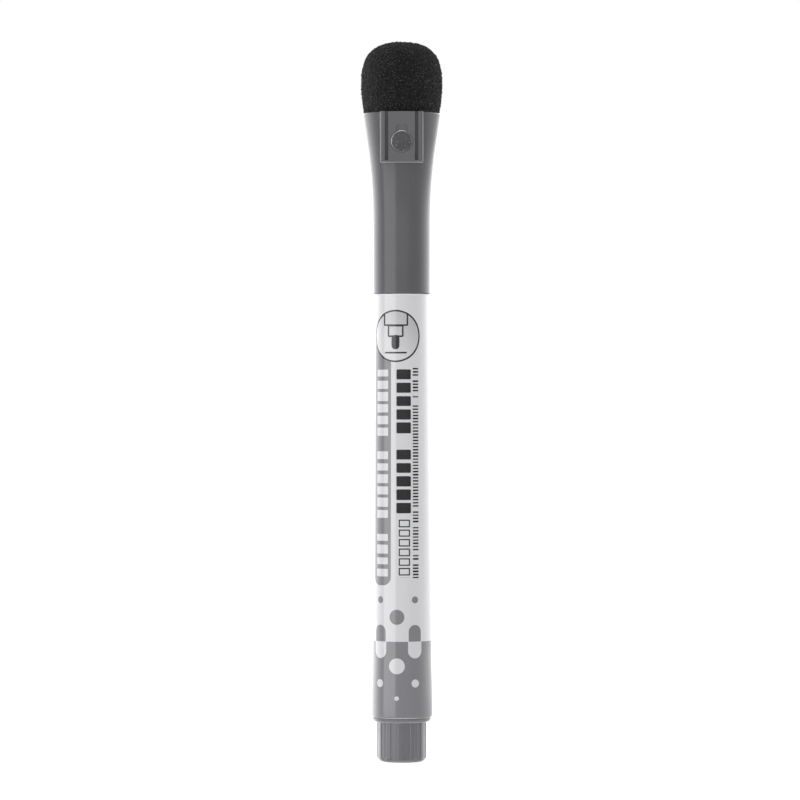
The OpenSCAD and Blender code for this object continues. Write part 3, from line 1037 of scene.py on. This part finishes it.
def evenly(points, spacing):
    """The same line, with points at equal steps along it."""
    kept = [points[0]]
    for start, end in zip(points, points[1:]):
        while (end - kept[-1]).length > spacing:
            kept.append(kept[-1] + (end - kept[-1]).normalized() * spacing)
    return kept[:-1] + [points[-1]]


felt_side = evenly(list(felt_outline()), FELT_GRID)
print("felt outline:", len(felt_side), "rows")

# %% The felt
FELT_COLUMNS, FELT_DEPTH, FELT_FADE = 330, 0.2 * MM, 0.3 * MM
eraser = turned(
    "felt_eraser",
    rounded([(0, pocket_z, 0), (POCKET_FLOOR_R - 0.01 * MM, pocket_z, 0.4 * MM), (POCKET_RIM_R, rim_z, 0)])
    + felt_side,
    columns=FELT_COLUMNS,
)
normals = [vertex.normal.copy() for vertex in eraser.data.vertices]
for vertex, normal in zip(eraser.data.vertices, normals):
    tufts = noise.noise(vertex.co / (0.36 * MM)) * 0.8 + noise.noise(vertex.co / (0.2 * MM)) * 0.5
    lumps = noise.noise(vertex.co / (2.5 * MM)) * 0.4
    fade = min(max((vertex.co.z - rim_z) / FELT_FADE, 0.0), 1.0)
    vertex.co += normal * (tufts + lumps - 0.6) * FELT_DEPTH * fade
smooth_shading(eraser, weighted=False)
sheen = {"Sheen_Weight": 0.09, "Sheen_Roughness": 0.5}
material, maker, drive = finish_named("black_felt", **sheen, Specular_IOR_Level=0.1)
mat = maker.grain(0.16 * MM, detail=3, roughness=0.7)
flecks = maker.grain(0.19 * MM, detail=1)
flecked = ((flecks - 0.6) * 9.0).clamped()
drive("Base Color", maker.blend(flecked * 0.6, maker.blend(mat, grey(0.001), grey(0.016)), grey(0.16)))
drive("Roughness", 0.7 + mat * 0.25)
drive("Normal", maker.bumps(mat, 3e-4))
eraser.data.materials.append(material)
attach(eraser, "cap")
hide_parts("eraser")
count_faces(eraser)

# %% [markdown]
# ## Loose fibres on the felt
# Felt always has fibre ends that stand clear of it. They are the clearest case for Geometry Nodes: the
# tree scatters points over the felt, puts one thin cone on each, and leans each one over by chance, from
# a fixed seed. A few are pale, where noise says so, and those catch a speck of light.

# %% The fibres
fibre_sizes = {"Density": 10e6, "Thickness": 0.03 * MM, "Length": 0.3 * MM, "Lean": 1.3}
fibre_sizes["Above"] = rim_z + 0.25 * MM
tree, maker, wires = shape_tree("felt fibres", fibre_sizes)
height = maker.parts(maker.value("GeometryNodeInputPosition"))[2]
inputs = {"Mesh": wires["Geometry"], "Selection": height > wires["Above"]}
inputs |= {"Density": wires["Density"], "Seed": 11}
scatter = maker.node("GeometryNodeDistributePointsOnFaces", inputs=inputs)
points, upright = Wire(maker, scatter.outputs["Points"]), Wire(maker, scatter.outputs["Rotation"])
lean = {"Min": wires["Lean"] * -1.0, "Max": wires["Lean"]}
tilt = maker.vector(X=maker.chance(**lean, Seed=1), Y=maker.chance(**lean, Seed=2))
settings = {"rotation_space": "LOCAL"}
leaning = maker.value("FunctionNodeRotateRotation", settings, {"Rotation": upright, "Rotate By": tilt})
cone = {"Vertices": 3, "Side Segments": 2, "Radius Bottom": wires["Thickness"], "Depth": wires["Length"]}
fibre = maker.value("GeometryNodeMeshCone", inputs=cone)
lengths = maker.chance(Min=0.4, Max=1.0, Seed=3)
inputs = {"Points": points, "Instance": fibre, "Rotation": leaning, "Scale": lengths}
fibre_copies = maker.value("GeometryNodeInstanceOnPoints", inputs=inputs)
material, maker_look, drive = finish_named("felt_fibre", Specular_IOR_Level=0.2)
shades = maker_look.grain(0.2 * MM, detail=2, roughness=0.6)
pale = ((shades - 0.58) * 9.0).clamped()
drive("Base Color", maker_look.blend(pale, grey(0.002), grey(0.42)))
drive("Roughness", 0.45 + shades * 0.3)
close_tree(maker, fibre_copies, material)
fibres = bpy.data.objects.new("felt_fibres", eraser.data.copy())
bpy.context.scene.collection.objects.link(fibres)
grow(fibres, tree, fibre_sizes)
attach(fibres, "cap")
count_faces(fibres)

# %% [markdown]
# ## Stage and light
# The marker stands on a pale floor before plain white. The light is a studio of soft panels: a dim
# front with a low panel for the pad, one upright softbox at the left, bright panels at both sides and
# behind, and a glow from above and below. The softbox draws the long bright stripe down the left, and
# because gloss reflects most at a glancing angle, the bright sides melt both edges into the white. The
# panels are worked out from the direction that light comes from, so they wrap smoothly round the marker.
# Mirror rays pass the floor by, as if the marker stood on air.

# %% The floor
FLOOR_R, FLOOR_GAP = 3.0, 0.02 * MM
floor = turned("floor", [(0, 0), (FLOOR_R, 0)], columns=64)
floor.data.transform(Matrix.Translation((0, 0, -FLOOR_GAP)))
floor.visible_glossy = False
material, maker, drive = finish_named("pale_floor", Emission_Strength=0.82)
mottle = maker.grain(0.02, detail=1)
drive("Base Color", maker.blend(mottle, grey(0.5), grey(0.52)))
drive("Emission Color", grey(1.0))
drive("Roughness", 0.9)
floor.data.materials.append(material)

# %% The studio panels, with all angles in degrees
FRONT_LIGHT, SOFTBOX_LIGHT, SIDE_LIGHT, HIGH_LIGHT = 0.19, 1.65, 2.9, 0.45
TOP_PANEL_LIGHT, POLE_LIGHT = 1.25, 1.7
world = bpy.data.worlds.new("soft panels")
bpy.context.scene.world = world
world.use_nodes = True
world.node_tree.nodes.clear()
maker = Maker(world.node_tree)
toward = maker.value("ShaderNodeTexCoord", output="Generated")
east, north, up = maker.parts(toward)
azimuth = east.maths("ARCTAN2", north * -1.0) * math.degrees(1)
elevation = up.maths("ARCSINE") * math.degrees(1)


def ramp(wire, low, high):
    """0 below the first value, 1 above the second, and an even climb between them."""
    return ((wire - low) / (high - low)).clamped()


def eased(share):
    return share * share * (3 - share * 2)


level = 1 - eased(ramp(abs(elevation), 24, 44))
softbox = ramp(azimuth, -74, -71) * (1 - ramp(azimuth, -25, -23)) * level * SOFTBOX_LIGHT
softbox = softbox * (0.2 + ramp(elevation, -13, -4) * 0.8)
right = eased(ramp(azimuth, 62, 132)) * (0.25 + ramp(elevation, -4.5, 3) * 0.75)
left = eased(ramp(azimuth * -1.0, 76, 126)) * (0.75 + ramp(elevation, -4.5, 1.5) * 0.25)
side_level = 1 - eased(ramp(abs(elevation), 16, 36))
sides = (right + left) * (side_level * (SIDE_LIGHT - HIGH_LIGHT) + HIGH_LIGHT)
top_panel = ramp(elevation, 2.7, 4.2) * (1 - ramp(elevation, 12, 16)) * (1 - ramp(abs(azimuth), 20, 30))
poles = ramp(abs(elevation), 52, 68) * POLE_LIGHT
radiance = softbox + sides + top_panel * TOP_PANEL_LIGHT + poles + FRONT_LIGHT
seen = maker.value("ShaderNodeLightPath", output="Is Camera Ray")
strength = seen + (1 - seen) * radiance
background = maker.value("ShaderNodeBackground", inputs={"Color": grey(1.0), "Strength": strength})
maker.node("ShaderNodeOutputWorld", inputs={"Surface": background})
bpy.context.scene.view_settings.view_transform = "Standard"
print("world nodes:", len(world.node_tree.nodes))

# %% [markdown]
# ## The camera
# The camera is level, halfway up the marker, and far away with a long lens, so that the sides stay
# nearly parallel and the cap's edges curve only a little.

# %% The camera
CAMERA_AWAY, CAMERA_SHIFT = 0.7022, 0.3 * MM
camera = bpy.data.objects.new("camera", bpy.data.cameras.new("camera"))
camera.data.lens, camera.data.sensor_width = 174.75, 36
camera.location = (-CAMERA_SHIFT, -CAMERA_AWAY, felt_top / 2 + CAMERA_SHIFT)
camera.rotation_euler = (math.pi / 2, 0, 0)
bpy.context.scene.collection.objects.link(camera)
bpy.context.scene.camera = camera
